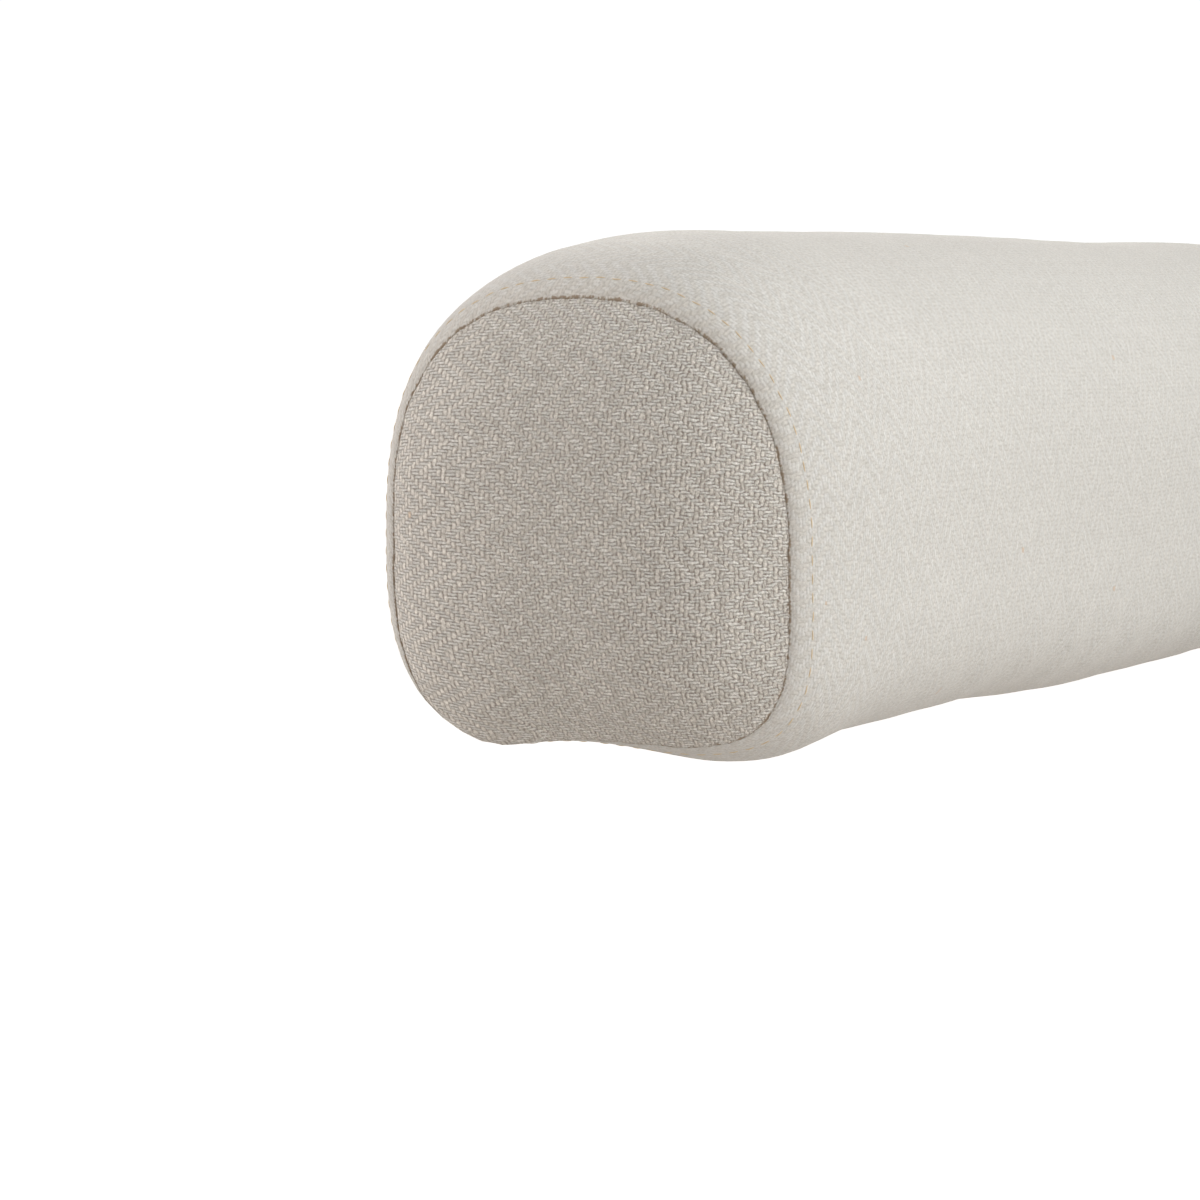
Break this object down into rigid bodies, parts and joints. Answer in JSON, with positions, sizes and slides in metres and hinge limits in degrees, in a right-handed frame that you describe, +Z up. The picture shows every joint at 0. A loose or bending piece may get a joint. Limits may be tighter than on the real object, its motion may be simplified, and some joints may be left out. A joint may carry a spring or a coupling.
{
  "type": "loveseat",
  "caption": "Upholstered loveseat with a horseshoe-shaped padded roll for arms and back, loose cushions on a seat box, and flat steel legs that carry the roll from behind.",
  "frame": {"origin": "on the floor, under the middle of the loveseat's bounding box", "axes": "+Z up, +X to the right for someone who looks at the front, front towards -Y"},
  "size_m": [1.36, 0.76, 0.8203],
  "materials": {
    "cream_fabric": "off-white herringbone chenille",
    "black_steel": "black powder coat",
    "bare_steel": "bare drawn tube",
    "black_plastic": "moulded, matt",
    "pale_timber": "planed, unfinished",
    "elastic_webbing": "woven elastic",
    "deck_felt": "pressed felt",
    "dust_cloth": "spun-bonded cloth"
  },
  "bodies": {
    "root": {"back_bolt_left_lower": "black_steel", "back_bolt_left_upper": "black_steel", "back_bolt_right_lower": "black_steel", "back_bolt_right_upper": "black_steel", "back_cushion_left": "cream_fabric", "back_cushion_right": "cream_fabric", "back_leg_left": "black_steel", "back_leg_right": "black_steel", "back_rail": "pale_timber", "back_shoe_left": "black_plastic", "back_shoe_right": "black_plastic", "box_cover": "cream_fabric", "centre_rail": "pale_timber", "core_tube": "bare_steel", "corner_block_front_left": "pale_timber", "corner_block_front_right": "pale_timber", "corner_block_rear_left": "pale_timber", "corner_block_rear_right": "pale_timber", "corner_bolt_left_lower": "black_steel", "corner_bolt_left_upper": "black_steel", "corner_bolt_right_lower": "black_steel", "corner_bolt_right_upper": "black_steel", "corner_leg_left": "black_steel", "corner_leg_right": "black_steel", "corner_shoe_left": "black_plastic", "corner_shoe_right": "black_plastic", "deck_pad": "deck_felt", "dust_cover": "dust_cloth", "end_panel_left": "cream_fabric", "end_panel_right": "cream_fabric", "front_bolt_left_lower": "black_steel", "front_bolt_left_upper": "black_steel", "front_bolt_right_lower": "black_steel", "front_bolt_right_upper": "black_steel", "front_leg_left": "black_steel", "front_leg_right": "black_steel", "front_rail": "pale_timber", "front_shoe_left": "black_plastic", "front_shoe_right": "black_plastic", "horseshoe_roll": "cream_fabric", "seat_cushion_left": "cream_fabric", "seat_cushion_right": "cream_fabric", "side_rail_left": "pale_timber", "side_rail_right": "pale_timber", "webbing_strap_1": "elastic_webbing", "webbing_strap_2": "elastic_webbing", "webbing_strap_3": "elastic_webbing", "webbing_strap_4": "elastic_webbing", "webbing_strap_5": "elastic_webbing", "webbing_strap_6": "elastic_webbing", "webbing_strap_7": "elastic_webbing", "webbing_strap_8": "elastic_webbing"}
  },
  "joints": []
}
